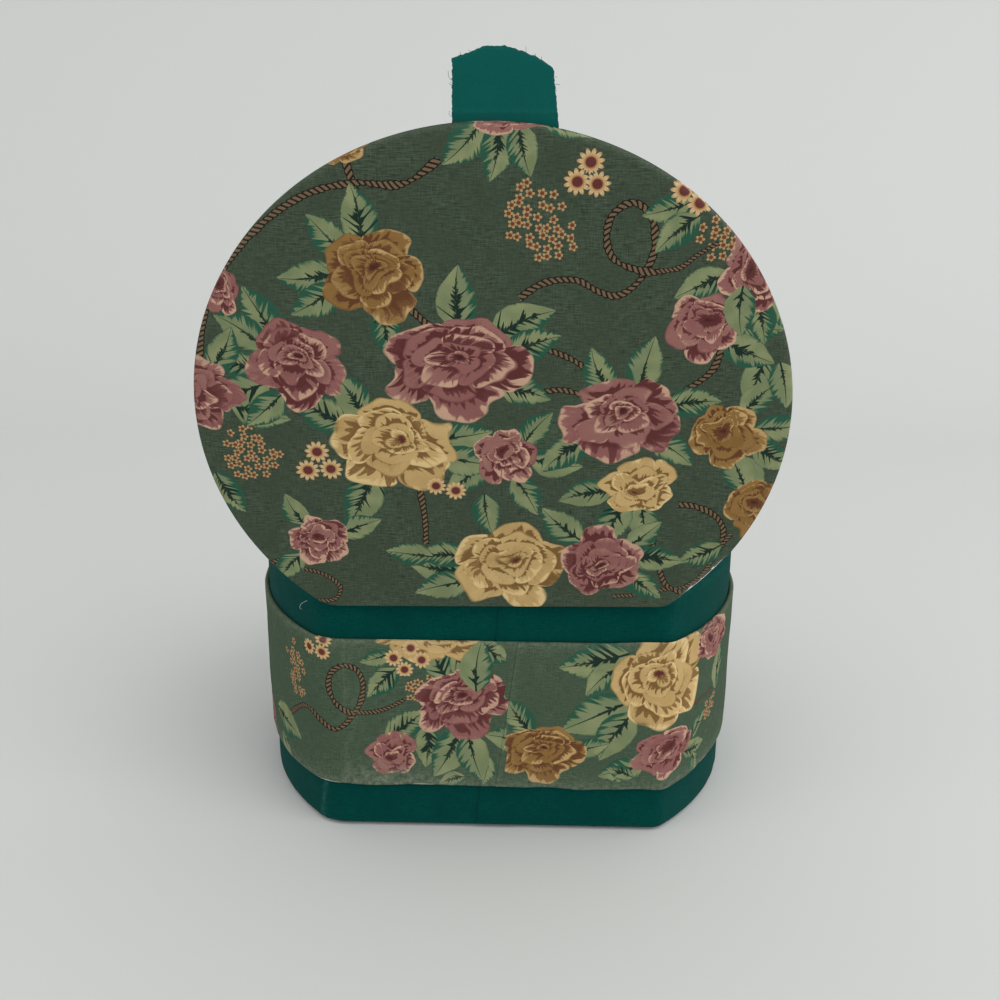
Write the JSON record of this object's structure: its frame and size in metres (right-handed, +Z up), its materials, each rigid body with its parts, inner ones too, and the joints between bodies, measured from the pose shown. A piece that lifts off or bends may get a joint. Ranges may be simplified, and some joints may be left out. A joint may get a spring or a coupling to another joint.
{
  "type": "keepsake box",
  "caption": "Cloth-covered card box for papers and keepsakes, round with one flat side, with a cloth-hinged flat lid and a cloth pull tab.",
  "frame": {"origin": "centre of the round plan, on the surface the box stands on", "axes": "+Z up, +Y away from the flat hinge side, +X along the hinge line, to the right of someone who faces the hinge side"},
  "size_m": [0.1632, 0.1806, 0.2351],
  "materials": {
    "greyboard": "matt recycled board",
    "white_board": "white-faced board, matt",
    "card": "uncoated card, matt",
    "wadding": "bonded polyester wadding",
    "plain_cotton": "plain-woven cotton dyed deep teal green",
    "printed_cotton": "woven cotton printed with roses, leaves and cord on sage green"
  },
  "bodies": {
    "box": {"bottom_card": "card", "bottom_cloth": "plain_cotton", "base_board": "greyboard", "wall_board": "greyboard", "wall_cloth": "plain_cotton", "wrap_card": "card", "wrap_cloth": "printed_cotton", "wall_lining_card": "card", "wall_lining_cloth": "plain_cotton", "floor_card": "card", "floor_wadding": "wadding", "floor_cloth": "plain_cotton", "hinge_wall_leaf": "plain_cotton"},
    "lid": {"lid_board": "white_board", "lid_cloth": "printed_cotton", "lid_lining_card": "card", "lid_lining_cloth": "plain_cotton", "hinge_lid_leaf": "plain_cotton", "tab_outer_cloth": "plain_cotton", "tab_inner_cloth": "plain_cotton"}
  },
  "joints": [
    {"name": "lid_hinge", "type": "hinge", "parent": "box", "child": "lid", "pos_m": [0, -0.06055, 0.08235], "axis": [-1, 0, 0], "range_deg": [0, 104]}
  ]
}
